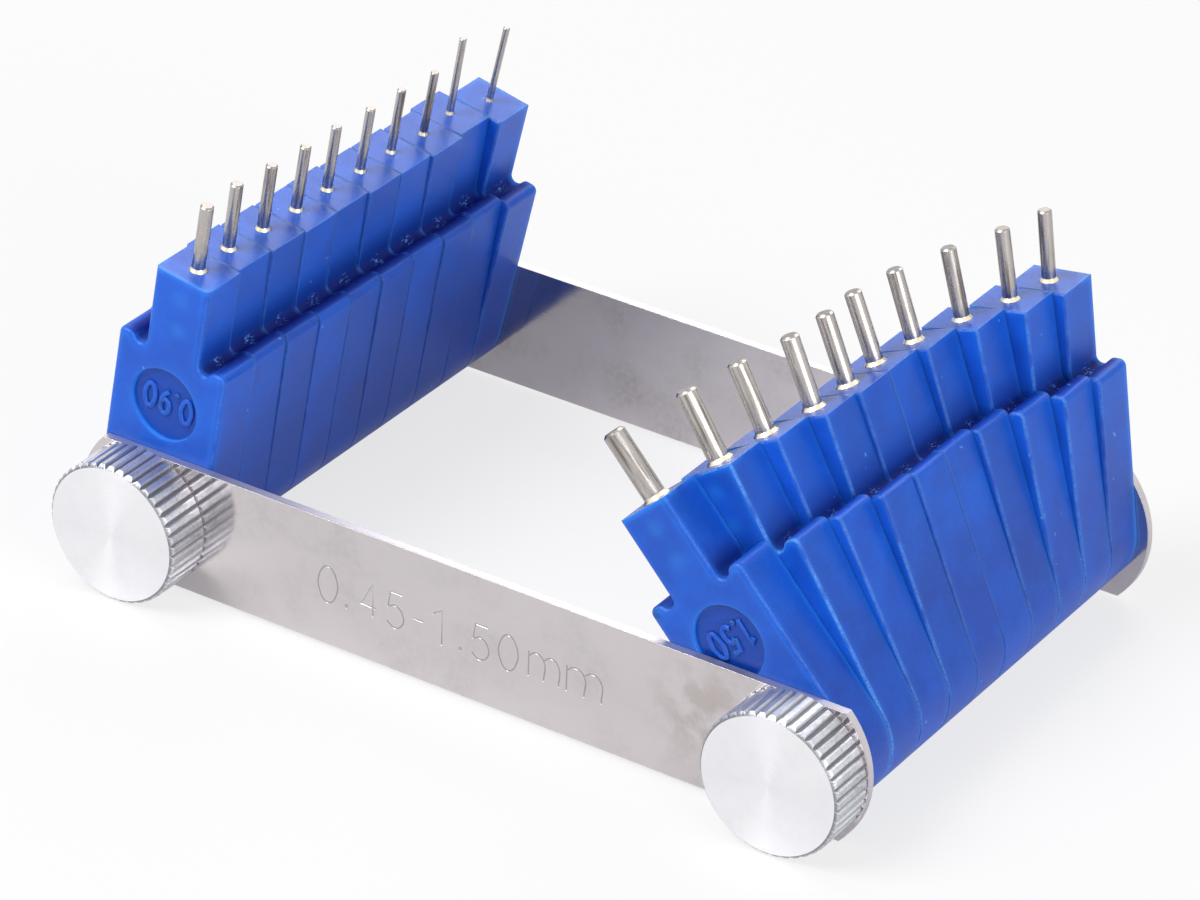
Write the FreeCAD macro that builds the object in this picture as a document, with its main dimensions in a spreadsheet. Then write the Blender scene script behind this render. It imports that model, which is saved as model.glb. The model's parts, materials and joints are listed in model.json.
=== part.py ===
"""Carburettor jet gauge: two side bars, two clamping pivots and twenty plastic blades.

Each blade carries one steel gauge pin and swings about one of the two pivots. The part
stands on its knobs: +X runs along the bars, +Y from the front bar to the rear one and
+Z up. The origin is the middle of the footprint, at the height that the part stands on.
All lengths are millimetres and all angles degrees.
"""
import FreeCAD, Part
import math
import os

import Sketcher

Vector = FreeCAD.Vector

# Driving dimensions
# Every size of the object is one row here, and nothing below repeats a number from it.
DIMENSIONS = [
    ("shaft_spacing", 50.0, "between the two pivot axes"),
    ("bar_width", 9.25, "height of a side bar on edge"),
    ("bar_thickness", 0.6, "stainless strip"),
    ("bar_corner_reach", 3.2, "from a pivot axis out to the corner where the end arc starts"),
    ("bar_end_radius", 6.7, "shallow arc of a bar's end"),
    ("post_diameter", 4.0, "barrel that the blades swing on"),
    ("post_setback", 0.15, "barrel stops this far inside the front bar's face, so it can clamp"),
    ("post_head_diameter", 7.0, "low head behind the rear bar"),
    ("post_head_height", 0.9, "thickness of that head"),
    ("post_head_break", 0.3, "bevel round the head"),
    ("post_slot_width", 0.9, "driver slot in the head"),
    ("post_slot_depth", 0.4, "depth of the slot"),
    ("post_bore_depth", 12.0, "threaded depth for the thumb screw"),
    ("screw_diameter", 3.0, "thread of the thumb screw"),
    ("screw_reach", 9.0, "length of the thread behind the knob"),
    ("screw_tip_break", 0.4, "bevel on the thread's end"),
    ("knob_diameter", 10.0, "over the crests of the knurl"),
    ("knob_thickness", 3.5, "length of the knob"),
    ("knob_front_break", 0.25, "bevel round the knob's face, where the knurl runs out"),
    ("knob_rear_break", 0.15, "bevel where the knob meets the bar"),
    ("knurl_teeth", 42, "ridges round the knob"),
    ("knurl_depth", 0.24, "depth of a groove of the knurl"),
    ("knurl_width", 0.42, "width of a groove at the crests"),
    ("blade_thickness", 3.45, "depth of one blade along the pivot"),
    ("blade_width", 8.5, "body of a blade, and the diameter of its round foot"),
    ("shoulder_height", 12.4, "pivot axis to the top of the shoulders"),
    ("shoulder_round", 0.45, "outer corner of a shoulder"),
    ("shoulder_width", 2.15, "from a blade's side in to its neck, which holds the pin"),
    ("neck_top", 18.05, "pivot axis to the top of the neck"),
    ("groove_depth", 0.53, "hollow beside the neck, below the shoulder"),
    ("groove_round", 0.5, "concave side of that hollow"),
    ("lip_round", 0.56, "convex side of that hollow"),
    ("edge_break", 0.12, "bevel round the front face of an inner blade"),
    ("front_edge_round", 0.35, "softer edge of the blade next to the front bar"),
    ("recess_diameter", 5.2, "round field for the size figures"),
    ("recess_height", 8.3, "pivot axis to the middle of that field"),
    ("recess_depth", 0.3, "depth of the field"),
    ("wire_length", 12.0, "every gauge pin, as cut"),
    ("pin_reach", 4.9, "part of the pin that stands out of the neck"),
    ("slim_pin_reach", 5.95, "the same for the two thinnest pins"),
    ("collar_height", 0.22, "bright flare round the foot of a pin, above the neck"),
    ("collar_seat", 0.4, "the same flare below it, in the countersunk mouth of the socket"),
    ("collar_share", 0.15, "how far the flare stands out, as a share of the pin's diameter"),
    ("tip_break_share", 0.12, "bevel at a pin's tip, as a share of its diameter"),
    ("fit_barrel_in_bar", 0.05, "radial clearance"),
    ("fit_blade_on_barrel", 0.05, "radial clearance"),
    ("fit_screw_in_barrel", 0.05, "radial clearance that stands for the thread"),
    ("fit_pin_in_blade", 0.01, "radial clearance of the pressed pin"),
    ("fit_between_blades", 0.025, "axial clearance beside each blade"),
]

# Gauge sizes in millimetres from the front bar to the rear one, each with the lean of
# its blade in the photograph, in degrees from upright and positive towards +X.
LEFT_BLADES = [(0.90, 8.9), (0.85, 8.3), (0.80, 8.8), (0.75, 9.2), (0.70, 9.1),
               (0.65, 9.7), (0.60, 9.8), (0.55, 10.4), (0.50, 9.6), (0.45, 12.4)]
RIGHT_BLADES = [(1.50, -43.0), (1.40, -33.7), (1.30, -29.4), (1.25, -24.9), (1.20, -23.8),
                (1.15, -23.9), (1.10, -21.4), (1.05, -16.5), (1.00, -11.6), (0.95, -8.8)]
SLIM_SIZES = (0.45, 0.50)

# Places that several pieces share, as formulas on the sheet
PITCH = "(Dims.blade_thickness + Dims.fit_between_blades)"
STACK = "(%d * %s + Dims.fit_between_blades)" % (len(LEFT_BLADES), PITCH)
DEPTH = "(Dims.knob_thickness + 2 * Dims.bar_thickness + %s + Dims.post_head_height)" % STACK
FRONT = "(Dims.knob_thickness - %s / 2)" % DEPTH
PIVOT_HEIGHT = "max(Dims.knob_diameter; Dims.bar_width; Dims.blade_width) / 2"
NECK_HALF = "Dims.blade_width / 2 - Dims.shoulder_width"
MIDDLE_OF_BLADE = "-Dims.blade_thickness / 2"
LEFT_AXIS = "-Dims.shaft_spacing / 2"
RIGHT_AXIS = "Dims.shaft_spacing / 2"

doc = FreeCAD.newDocument("JetGauge")
sheet = doc.addObject("Spreadsheet::Sheet", "Dims")


def tag(diameter):
    """0.9 mm becomes 090, as in the names of its blade and pin."""
    return "%03d" % round(diameter * 100)


def fill_sheet():
    rows = list(DIMENSIONS)
    for diameter, lean in LEFT_BLADES + RIGHT_BLADES:
        rows.append(("gauge_" + tag(diameter), diameter, "diameter of this gauge pin"))
        rows.append(("lean_" + tag(diameter), lean, "lean of its blade at rest"))
    for row, (name, value, meaning) in enumerate(rows, start=1):
        sheet.set("A%d" % row, name)
        sheet.set("B%d" % row, str(value))
        sheet.setAlias("B%d" % row, name)
        sheet.set("C%d" % row, meaning)
    doc.recompute()


def dim(name):
    """Present value of a driving dimension, for the first draft of a sketch."""
    return float(sheet.get(name))


# Small helpers
def new_body(label, place):
    body = doc.addObject("PartDesign::Body", label)
    body.Label = label
    body.setExpression("Placement", place)
    return body


def at_pivot(axis, behind="0", lean="0"):
    """Place on a pivot axis, so far behind the front bar's outer face, leaned about it.

    Every sub-part is drawn with the pivot axis on its own Y axis.
    """
    spot = "vector(%s; %s + %s; %s)" % (axis, FRONT, behind, PIVOT_HEIGHT)
    return "placement(%s; rotation(vector(0; 1; 0); %s))" % (spot, lean)


def in_slot(axis, order, diameter):
    """Place of a blade and of its pin, counted from the front bar."""
    behind = "Dims.bar_thickness + Dims.fit_between_blades + %d * %s" % (order, PITCH)
    return at_pivot(axis, behind, "Dims.lean_" + tag(diameter))


def datum(body, role):
    return next(item for item in body.Origin.OriginFeatures if item.Role == role)


def new_sketch(body, name, role, lift=None):
    sketch = body.newObject("Sketcher::SketchObject", name)
    sketch.AttachmentSupport = [(datum(body, role), "")]
    sketch.MapMode = "FlatFace"
    if lift is not None:
        sketch.setExpression("AttachmentOffset.Base.z", lift)
    return sketch


def line(start, end):
    return Part.LineSegment(Vector(*start, 0), Vector(*end, 0))


def arc(centre, radius, first, last):
    """Arc drawn anticlockwise between two angles in degrees."""
    circle = Part.Circle(Vector(*centre, 0), Vector(0, 0, 1), radius)
    return Part.ArcOfCircle(circle, math.radians(first), math.radians(last))


def present(sketch, formula):
    """What a formula gives now, as a plain number, for the first draft of a sketch."""
    value = sketch.evalExpression(formula)
    return float(getattr(value, "Value", value))


def rule(sketch, kind, *where):
    sketch.addConstraint(Sketcher.Constraint(kind, *where))


def bind(sketch, name, formula, kind, *where):
    """Adds a dimension at its present value and ties it to the sheet."""
    value = present(sketch, formula)
    index = sketch.addConstraint(Sketcher.Constraint(kind, *where, value))
    sketch.renameConstraint(index, name)
    sketch.setExpression("Constraints." + name, formula)


# Numbers by which a sketch knows the ends of an edge, its own origin and its two axes
START, END, CENTRE = range(1, 4)
ORIGIN = (-1, START)
ACROSS_AXIS, UP_AXIS = range(-1, -3, -1)


def polygon(sketch, corners):
    """Closed outline of straight sides. A corner is (x formula, y formula).

    A side whose ends share a formula is held level or upright by it, so each corner
    takes only the dimensions that its neighbours have not given it.
    """
    spots = [(present(sketch, x), present(sketch, y)) for x, y in corners]
    count = len(corners)
    sides = [sketch.addGeometry(line(spots[i], spots[(i + 1) % count])) for i in range(count)]
    for i in range(count):
        rule(sketch, "Coincident", sides[i - 1], END, sides[i], START)
    for i, (x, y) in enumerate(corners):
        if x != corners[i - 1][0]:
            place_point(sketch, "across_%d" % i, x, "DistanceX", UP_AXIS, sides[i], START)
        else:
            rule(sketch, "Vertical", sides[i - 1])
        if y != corners[i - 1][1]:
            place_point(sketch, "along_%d" % i, y, "DistanceY", ACROSS_AXIS, sides[i], START)
        else:
            rule(sketch, "Horizontal", sides[i - 1])
    return sides


def place_point(sketch, name, formula, kind, axis, edge, end):
    """Holds a point on an axis of the sketch, or at a distance from its origin."""
    if formula == "0":
        rule(sketch, "PointOnObject", edge, end, axis)
    else:
        bind(sketch, name, formula, kind, *ORIGIN, edge, end)


def revolve(body, name, sketch, kind="Revolution"):
    """Turns a profile about the upright axis of its sketch; kind Groove cuts it away."""
    turned = body.newObject("PartDesign::" + kind, name)
    turned.Profile = sketch
    turned.ReferenceAxis = (sketch, ["V_Axis"])
    turned.Angle = 360
    sketch.Visibility = False
    return turned


def pad(body, name, sketch, length):
    """Grows from the front plane towards +Y."""
    grown = body.newObject("PartDesign::Pad", name)
    grown.Profile = sketch
    grown.setExpression("Length", length)
    grown.Reversed = True
    return grown


def pocket(body, name, sketch, length=None, towards_front=False):
    cut = body.newObject("PartDesign::Pocket", name)
    cut.Profile = sketch
    if length is None:
        cut.Type = "ThroughAll"
    else:
        cut.setExpression("Length", length)
    cut.Reversed = towards_front
    return cut


def round_sketch(body, name, role, across, up, radius, lift=None):
    """A sketch of one circle at (across, up) on a datum plane."""
    sketch = new_sketch(body, name, role, lift)
    centre = Vector(present(sketch, across), present(sketch, up), 0)
    drawn = Part.Circle(centre, Vector(0, 0, 1), present(sketch, radius))
    circle = sketch.addGeometry(drawn)
    bind(sketch, "radius", radius, "Radius", circle)
    place_point(sketch, "across", across, "DistanceX", UP_AXIS, circle, CENTRE)
    place_point(sketch, "up", up, "DistanceY", ACROSS_AXIS, circle, CENTRE)
    return sketch


# Side bars
def side_bar(label, behind):
    """Flat strip with a shallow arc at each end and a hole for each barrel."""
    body = new_body(label, at_pivot("0", behind))
    sketch = new_sketch(body, "Outline", "XZ_Plane")
    edge = dim("bar_width") / 2
    corner = dim("shaft_spacing") / 2 + dim("bar_corner_reach")
    radius = dim("bar_end_radius")
    swing = math.degrees(math.asin(edge / radius))
    middle = corner - radius * math.cos(math.radians(swing))
    right, top, left, bottom = sketch.addGeometry([
        arc((middle, 0), radius, -swing, swing),
        line((corner, edge), (-corner, edge)),
        arc((-middle, 0), radius, 180 - swing, 180 + swing),
        line((-corner, -edge), (corner, -edge)),
    ])
    rule(sketch, "Coincident", right, END, top, START)
    rule(sketch, "Coincident", top, END, left, START)
    rule(sketch, "Coincident", left, END, bottom, START)
    rule(sketch, "Coincident", bottom, END, right, START)
    rule(sketch, "Symmetric", top, START, top, END, UP_AXIS)
    rule(sketch, "Symmetric", top, START, bottom, END, ACROSS_AXIS)
    rule(sketch, "Symmetric", top, END, bottom, START, ACROSS_AXIS)
    corner_place = "Dims.shaft_spacing / 2 + Dims.bar_corner_reach"
    bind(sketch, "corner", corner_place, "DistanceX", *ORIGIN, top, START)
    bind(sketch, "edge", "Dims.bar_width / 2", "DistanceY", *ORIGIN, top, START)
    bind(sketch, "right_end", "Dims.bar_end_radius", "Radius", right)
    bind(sketch, "left_end", "Dims.bar_end_radius", "Radius", left)
    pad(body, "Strip", sketch, "Dims.bar_thickness")
    hole = "Dims.post_diameter / 2 + Dims.fit_barrel_in_bar"
    for name, axis in (("LeftHole", LEFT_AXIS), ("RightHole", RIGHT_AXIS)):
        pocket(body, name, round_sketch(body, name + "Outline", "XZ_Plane", axis, "0", hole))
    return body


# Clamping pivots
def pivot_post(label, axis):
    """Headed barrel through both bars and the stack, tapped from its front end."""
    body = new_body(label, at_pivot(axis))
    outer = "Dims.post_diameter / 2"
    inner = "Dims.screw_diameter / 2 + Dims.fit_screw_in_barrel"
    head = "Dims.post_head_diameter / 2"
    front = "Dims.post_setback"
    seat = "2 * Dims.bar_thickness + " + STACK
    back = seat + " + Dims.post_head_height"
    sketch = new_sketch(body, "Profile", "XY_Plane")
    polygon(sketch, [
        (inner, front),
        (outer, front),
        (outer, seat),
        (head, seat),
        (head, back + " - Dims.post_head_break"),
        (head + " - Dims.post_head_break", back),
        ("0", back),
        ("0", front + " + Dims.post_bore_depth + " + inner),
        (inner, front + " + Dims.post_bore_depth"),
    ])
    revolve(body, "Barrel", sketch)
    slot = new_sketch(body, "SlotOutline", "XZ_Plane", "-(" + back + ")")
    wide, tall = head, "Dims.post_slot_width / 2"
    polygon(slot, [("-" + wide, "-" + tall), (wide, "-" + tall), (wide, tall), ("-" + wide, tall)])
    pocket(body, "Slot", slot, "Dims.post_slot_depth", towards_front=True)
    return body


def thumb_screw(label, axis):
    """Knurled knob turned in one piece with the thread that enters the barrel."""
    body = new_body(label, at_pivot(axis))
    rim = "Dims.knob_diameter / 2"
    stem = "Dims.screw_diameter / 2"
    face = "-Dims.knob_thickness"
    tip = "Dims.screw_reach"
    sketch = new_sketch(body, "Profile", "XY_Plane")
    polygon(sketch, [
        ("0", face),
        (rim + " - Dims.knob_front_break", face),
        (rim, face + " + Dims.knob_front_break"),
        (rim, "-Dims.knob_rear_break"),
        (rim + " - Dims.knob_rear_break", "0"),
        (stem, "0"),
        (stem, tip + " - Dims.screw_tip_break"),
        (stem + " - Dims.screw_tip_break", tip),
        ("0", tip),
    ])
    revolve(body, "Turned", sketch)
    notch = new_sketch(body, "NotchOutline", "XZ_Plane")
    polygon(notch, [
        (rim + " - Dims.knurl_depth", "0"),
        (rim + " + Dims.knurl_depth", "-Dims.knurl_width"),
        (rim + " + Dims.knurl_depth", "Dims.knurl_width"),
    ])
    groove = pocket(body, "Notch", notch, "Dims.knob_thickness", towards_front=True)
    knurl = body.newObject("PartDesign::PolarPattern", "Knurl")
    knurl.Originals = [groove]
    knurl.Axis = (datum(body, "Y_Axis"), [""])
    knurl.Angle = 360
    knurl.setExpression("Occurrences", "Dims.knurl_teeth")
    body.Tip = knurl
    return body


# Blades
def blade_outline(body):
    """Right half of a blade from the front: foot, side, shoulder, groove and neck."""
    half = dim("blade_width") / 2
    neck = half - dim("shoulder_width")
    shoulder = dim("shoulder_height")
    corner = dim("shoulder_round")
    top = dim("neck_top")
    hollow = dim("groove_round")
    lip = dim("lip_round")
    floor = shoulder - dim("groove_depth")
    turn = math.degrees(math.acos(1 - dim("groove_depth") / (hollow + lip)))
    hollow_centre = (neck + hollow, floor + hollow)
    land_end = neck + hollow + (hollow + lip) * math.sin(math.radians(turn))
    sketch = new_sketch(body, "Outline", "XZ_Plane")
    foot, side, round_, land, crest, bowl, neck_side, cap, middle = sketch.addGeometry([
        arc((0, 0), half, -90, 0),
        line((half, 0), (half, shoulder - corner)),
        arc((half - corner, shoulder - corner), corner, 0, 90),
        line((half - corner, shoulder), (land_end, shoulder)),
        arc((land_end, shoulder - lip), lip, 90, 90 + turn),
        arc(hollow_centre, hollow, 180, 270 + turn),
        line((neck, floor + hollow), (neck, top)),
        line((neck, top), (0, top)),
        line((0, top), (0, -half)),
    ])
    for first, first_end, second, second_end in (
        (foot, END, side, START),
        (side, END, round_, START),
        (round_, END, land, START),
        (land, END, crest, START),
        (crest, END, bowl, END),
        (bowl, START, neck_side, START),
    ):
        rule(sketch, "Tangent", first, first_end, second, second_end)
    rule(sketch, "Coincident", neck_side, END, cap, START)
    rule(sketch, "Coincident", cap, END, middle, START)
    rule(sketch, "Coincident", middle, END, foot, START)
    rule(sketch, "Coincident", foot, CENTRE, *ORIGIN)
    rule(sketch, "PointOnObject", middle, START, UP_AXIS)
    rule(sketch, "PointOnObject", middle, END, UP_AXIS)
    rule(sketch, "Vertical", side)
    rule(sketch, "Vertical", neck_side)
    rule(sketch, "Horizontal", land)
    rule(sketch, "Horizontal", cap)
    bind(sketch, "foot_radius", "Dims.blade_width / 2", "Radius", foot)
    bind(sketch, "corner_radius", "Dims.shoulder_round", "Radius", round_)
    bind(sketch, "lip_radius", "Dims.lip_round", "Radius", crest)
    bind(sketch, "bowl_radius", "Dims.groove_round", "Radius", bowl)
    bind(sketch, "neck_half", NECK_HALF, "DistanceX", *ORIGIN, neck_side, END)
    bind(sketch, "neck_height", "Dims.neck_top", "DistanceY", *ORIGIN, neck_side, END)
    bind(sketch, "shoulder", "Dims.shoulder_height", "DistanceY", *ORIGIN, land, START)
    bowl_height = "Dims.shoulder_height - Dims.groove_depth + Dims.groove_round"
    bind(sketch, "bowl_height", bowl_height, "DistanceY", *ORIGIN, bowl, CENTRE)
    return sketch


def front_edges(shape, skip_above=None):
    """Names of the edges round the front face, without those above a height."""
    names = []
    for index, edge in enumerate(shape.Edges, start=1):
        box = edge.BoundBox
        on_front = abs(box.YMin) < 1e-6 and abs(box.YMax) < 1e-6
        too_high = skip_above is not None and box.ZMin > skip_above
        if on_front and not too_high:
            names.append("Edge%d" % index)
    return names


def blade(label, axis, order, diameter):
    """Moulded blade with its pivot bore, the field for the figures and the pin socket."""
    body = new_body(label, in_slot(axis, order, diameter))
    half = pad(body, "HalfPlate", blade_outline(body), "Dims.blade_thickness")
    plate = body.newObject("PartDesign::Mirrored", "Plate")
    plate.Originals = [half]
    plate.MirrorPlane = (datum(body, "YZ_Plane"), [""])
    body.Tip = plate
    doc.recompute()
    if order == 0:
        edges = front_edges(plate.Shape, skip_above=dim("neck_top") - dim("edge_break"))
        soft = body.newObject("PartDesign::Fillet", "FrontEdge")
        soft.Base = (plate, edges)
        soft.setExpression("Radius", "Dims.front_edge_round")
    else:
        soft = body.newObject("PartDesign::Chamfer", "FrontEdge")
        soft.Base = (plate, front_edges(plate.Shape))
        soft.setExpression("Size", "Dims.edge_break")
    bore = "Dims.post_diameter / 2 + Dims.fit_blade_on_barrel"
    pocket(body, "Bore", round_sketch(body, "BoreOutline", "XZ_Plane", "0", "0", bore))
    field = round_sketch(body, "FieldOutline", "XZ_Plane", "0", "Dims.recess_height",
                         "Dims.recess_diameter / 2")
    pocket(body, "Field", field, "Dims.recess_depth")
    socket = new_sketch(body, "SocketProfile", "XZ_Plane", MIDDLE_OF_BLADE)
    bored = seated_part(diameter, " + Dims.fit_pin_in_blade")
    polygon(socket, bored + [("0", "Dims.neck_top")])
    revolve(body, "Socket", socket, "Groove")
    return body


# Gauge pins and their sockets
def pin_tip(diameter):
    reach = "Dims.slim_pin_reach" if diameter in SLIM_SIZES else "Dims.pin_reach"
    return "Dims.neck_top + " + reach


def seated_part(diameter, clearance=""):
    """Outline of a pin from its foot up to the neck's top, or of the socket round it."""
    radius = "Dims.gauge_%s / 2%s" % (tag(diameter), clearance)
    flare = "Dims.gauge_%s * Dims.collar_share" % tag(diameter)
    foot = pin_tip(diameter) + " - Dims.wire_length"
    return [
        ("0", foot),
        (radius, foot),
        (radius, "Dims.neck_top - Dims.collar_seat"),
        (radius + " + " + flare, "Dims.neck_top"),
    ]


def gauge_pin(label, axis, order, diameter):
    """Steel wire pressed into the neck, flared where it leaves it, bevelled at the tip."""
    body = new_body(label, in_slot(axis, order, diameter))
    radius = "Dims.gauge_%s / 2" % tag(diameter)
    bevel = "Dims.gauge_%s * Dims.tip_break_share" % tag(diameter)
    tip = pin_tip(diameter)
    sketch = new_sketch(body, "Profile", "XZ_Plane", MIDDLE_OF_BLADE)
    polygon(sketch, seated_part(diameter) + [
        (radius, "Dims.neck_top + Dims.collar_height"),
        (radius, tip + " - " + bevel),
        (radius + " - " + bevel, tip),
        ("0", tip),
    ])
    revolve(body, "Wire", sketch)
    return body


def build():
    """Makes every sub-part and returns their bodies."""
    fill_sheet()
    pieces = [
        side_bar("front_bar", "0"),
        side_bar("rear_bar", "Dims.bar_thickness + " + STACK),
    ]
    for side, axis, blades in (
        ("left", LEFT_AXIS, LEFT_BLADES),
        ("right", RIGHT_AXIS, RIGHT_BLADES),
    ):
        pieces.append(pivot_post(side + "_post", axis))
        pieces.append(thumb_screw(side + "_thumb_screw", axis))
        for order, (diameter, lean) in enumerate(blades):
            pieces.append(blade("blade_" + tag(diameter), axis, order, diameter))
            pieces.append(gauge_pin("pin_" + tag(diameter), axis, order, diameter))
    doc.recompute()
    return pieces


def check(pieces):
    """Stops on a failed feature or an unsound solid, before anything is written."""
    for item in doc.Objects:
        if {"Invalid", "Error"} & set(item.State):
            raise RuntimeError("%s (%s) did not build: %s" % (item.Label, item.Name, item.State))
    for piece in pieces:
        if piece.Shape.isNull() or not piece.Shape.isValid() or len(piece.Shape.Solids) != 1:
            raise RuntimeError("%s is not one sound solid" % piece.Label)


def export(pieces):
    os.makedirs("parts", exist_ok=True)
    for piece in pieces:
        piece.Shape.exportStep("parts/%s.step" % piece.Label)
        box = piece.Shape.BoundBox
        limits = (box.XMin, box.XMax, box.YMin, box.YMax, box.ZMin, box.ZMax)
        print("%-18s %9.3f mm3" % (piece.Label, piece.Shape.Volume),
              "  x %7.2f %7.2f  y %6.2f %6.2f  z %6.2f %6.2f" % limits)


made = build()
check(made)
export(made)
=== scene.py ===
# %% [markdown]
# # A carburettor jet gauge
#
# Twenty blue plastic blades swing on two clamped pivots between two stainless bars, and each
# blade carries one steel gauge pin. The solids come from the imported CAD model, which fixes
# every size and place. Here they get their finishes, and the pieces that are too fine for
# the CAD model are added: the raised size figures of the blades and the engraved front bar.
#

# %% Load the imported model
import json
import math

import bmesh
import bpy
from mathutils import Matrix, Vector


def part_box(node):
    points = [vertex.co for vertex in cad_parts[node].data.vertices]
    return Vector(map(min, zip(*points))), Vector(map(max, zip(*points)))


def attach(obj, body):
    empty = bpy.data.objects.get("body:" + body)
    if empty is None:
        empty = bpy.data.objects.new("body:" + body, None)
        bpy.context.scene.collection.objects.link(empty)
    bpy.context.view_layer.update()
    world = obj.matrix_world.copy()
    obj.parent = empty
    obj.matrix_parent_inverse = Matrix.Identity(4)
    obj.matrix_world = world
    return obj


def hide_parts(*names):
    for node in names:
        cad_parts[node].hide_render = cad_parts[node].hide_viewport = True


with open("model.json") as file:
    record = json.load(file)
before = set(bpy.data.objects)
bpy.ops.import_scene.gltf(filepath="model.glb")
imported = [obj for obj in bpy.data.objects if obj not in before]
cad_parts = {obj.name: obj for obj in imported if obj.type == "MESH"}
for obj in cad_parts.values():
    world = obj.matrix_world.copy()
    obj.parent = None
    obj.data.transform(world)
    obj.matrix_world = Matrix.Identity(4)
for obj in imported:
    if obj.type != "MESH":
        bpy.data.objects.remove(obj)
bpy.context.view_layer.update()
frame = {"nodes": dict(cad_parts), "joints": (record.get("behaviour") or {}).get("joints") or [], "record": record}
nodes = frame["nodes"]
MM = 0.001

# %% [markdown]
# ## Where each blade stands
#
# Every blade leans by its own angle about one of the two pivots. Its gauge pin is a mount
# of the part, and the mount's axis is the blade's own "up". With the pivot from the joint
# and the front face from the node's box, that gives a local frame for each blade: x across
# it, y back from its front face and z up from the pivot, all in millimetres.
#
# Figures are placed in that frame, and the finishes read it too, so a mark that belongs to
# a blade stays at the same spot on all twenty.

# %% Local frames of the blades
joints = {joint["child"]: joint for joint in frame["joints"]}
pin_axis = {mount["name"][-3:]: mount["axis"] for mount in frame["record"]["mounts"]
            if mount["name"].startswith("gauge_")}


class Blade:
    """Place and size of one blade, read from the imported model."""

    def __init__(self, size):
        self.size = size
        self.body = "arm_" + size
        pivot = Vector(joints[self.body]["pos_m"])
        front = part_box("blade_" + size)[0].y
        self.origin = Vector((pivot.x, front, pivot.z))
        axis = pin_axis[size]
        self.lean = math.atan2(axis[0], axis[2])
        self.matrix = (Matrix.Translation(self.origin) @ Matrix.Rotation(self.lean, 4, "Y")
                       @ Matrix.Scale(MM, 4))
        self.figures = size[0] + "." + size[1:]


COVERED, OPENING = 0.05, 4
STREAK_LEAST, STREAK_OPEN, STREAK_FRONT = 0.08, 0.9, 0.3
TONE_SPREAD = 0.07


def how_clear(blade, neighbour):
    """1 where a blade's face is open, near 0 where its neighbour covers it."""
    if neighbour is None:
        return 1.0
    return min(1.0, COVERED + abs(blade.lean - neighbour.lean) * OPENING)


blades = [Blade(size) for size in sorted(pin_axis)]
for blade in blades:
    stack = sorted((other for other in blades if other.origin.x == blade.origin.x),
                   key=lambda other: other.origin.y)
    place = stack.index(blade)
    blade.front_clear = how_clear(blade, stack[place - 1] if place else None)
    blade.back_clear = how_clear(blade, stack[place + 1] if place + 1 < len(stack) else None)
    blade.streak = STREAK_LEAST + STREAK_OPEN * blade.front_clear if place else STREAK_FRONT
    blade.tone = 1 + TONE_SPREAD * math.sin(int(blade.size) * 1.7)
print("blades:", [(blade.figures, round(math.degrees(blade.lean), 1)) for blade in blades])

# %% [markdown]
# ## Camera
#
# The photograph looks down from the front right through a long lens, rolled by two degrees.
# The numbers come from fitting a pinhole camera to the edges of the bars, knobs, blades and
# pins. A camera in Blender looks along its own -Z, so its three axes are built from the
# viewing direction and then turned by the roll.

# %% Camera at the photograph's angle
AZIMUTH, ELEVATION, ROLL = (math.radians(angle) for angle in (32.317, 30.13, 2.025))
DISTANCE = 0.31043
TARGET = Vector((0.024497, -0.0396535, 0.037529))
LENS = 168.88

back = Vector((math.sin(AZIMUTH) * math.cos(ELEVATION),
               -math.cos(AZIMUTH) * math.cos(ELEVATION), math.sin(ELEVATION)))
level = Vector((0, 0, 1)).cross(back).normalized()
upright = back.cross(level)
across = level * math.cos(ROLL) + upright * math.sin(ROLL)
upward = upright * math.cos(ROLL) - level * math.sin(ROLL)

camera = bpy.data.objects.new("camera", bpy.data.cameras.new("camera"))
camera.data.lens = LENS
camera.data.sensor_width = 36
camera.data.clip_start = 0.01
camera.matrix_world = Matrix.Translation(TARGET + back * DISTANCE) @ Matrix(
    (across, upward, back)).transposed().to_4x4()
bpy.context.scene.collection.objects.link(camera)
bpy.context.scene.camera = camera
print("camera at", [round(value, 4) for value in camera.matrix_world.translation])

# %% [markdown]
# ## Floor, world and lamps
#
# A product picture on pure white is usually shot in a light tent: a white sweep behind and
# under the object, one large soft lamp over the front left and a weaker one at the right.
# The white comes from the floor and the world as the camera and the metal see them, not
# from extra light on the object. Light Path tells those rays apart.
#
# The world is white to the camera and in reflections, and a dim fill for everything else.

# %% World
def add_node(tree, kind, inputs=None, **settings):
    """Adds a node. An input's value is a number, a colour or another node's output."""
    made = tree.nodes.new("ShaderNode" + kind)
    for name, value in settings.items():
        setattr(made, name, value)
    for key, value in (inputs or {}).items():
        if isinstance(value, bpy.types.NodeSocket):
            tree.links.new(value, made.inputs[key])
        else:
            made.inputs[key].default_value = value
    return made


def seen_directly(tree, direct=1.0, in_gloss=1.0):
    """The share of plain white that the camera sees, and the share that gloss sees."""
    path = add_node(tree, "LightPath")
    glossy = add_node(tree, "Math", {0: path.outputs["Is Glossy Ray"], 1: in_gloss},
                      operation="MULTIPLY")
    clear = add_node(tree, "Math", {0: path.outputs["Is Camera Ray"],
                                    1: path.outputs["Is Transmission Ray"]}, operation="MAXIMUM")
    seen = add_node(tree, "Math", {0: clear.outputs[0], 1: direct}, operation="MULTIPLY")
    return add_node(tree, "Math", {0: seen.outputs[0], 1: glossy.outputs[0]},
                    operation="MAXIMUM").outputs[0]


WHITE = (1, 1, 1, 1)
FILL_STRENGTH = 0.15

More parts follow.
